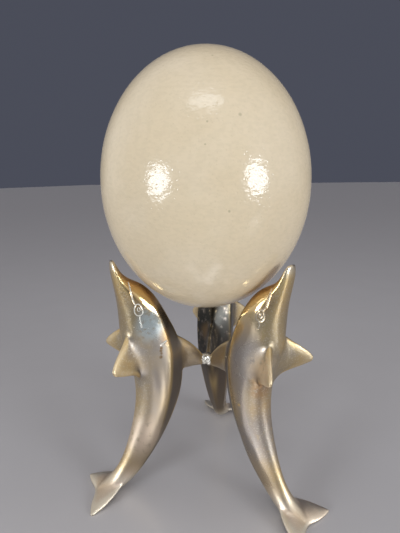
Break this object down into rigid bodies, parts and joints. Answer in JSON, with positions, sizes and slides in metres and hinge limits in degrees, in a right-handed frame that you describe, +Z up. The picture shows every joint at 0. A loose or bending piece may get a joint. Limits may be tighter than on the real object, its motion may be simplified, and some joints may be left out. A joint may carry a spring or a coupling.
{
  "type": "ostrich egg on a stand",
  "caption": "Whole ostrich egg resting in a cast brass stand of dolphins that stand on their tail flukes and meet at brazed dorsal fins.",
  "frame": {"origin": "on the surface the stand rests on, below the middle of the whole object's bounding box; the stand's own vertical axis is at Y = -0.0107 m", "axes": "+Z up; +Y towards the back dolphin, so the left and right dolphins lean out to -X and +X at the front"},
  "size_m": [0.1666, 0.1494, 0.281],
  "materials": {
    "egg_shell": "glossy ivory shell with fine pores",
    "cast_brass": "polished and slightly tarnished cast brass",
    "braze": "bright lumpy filler"
  },
  "bodies": {
    "root": {"ostrich_egg": "egg_shell", "left_dolphin": "cast_brass", "right_dolphin": "cast_brass", "back_dolphin": "cast_brass", "braze_joint": "braze"}
  },
  "joints": []
}
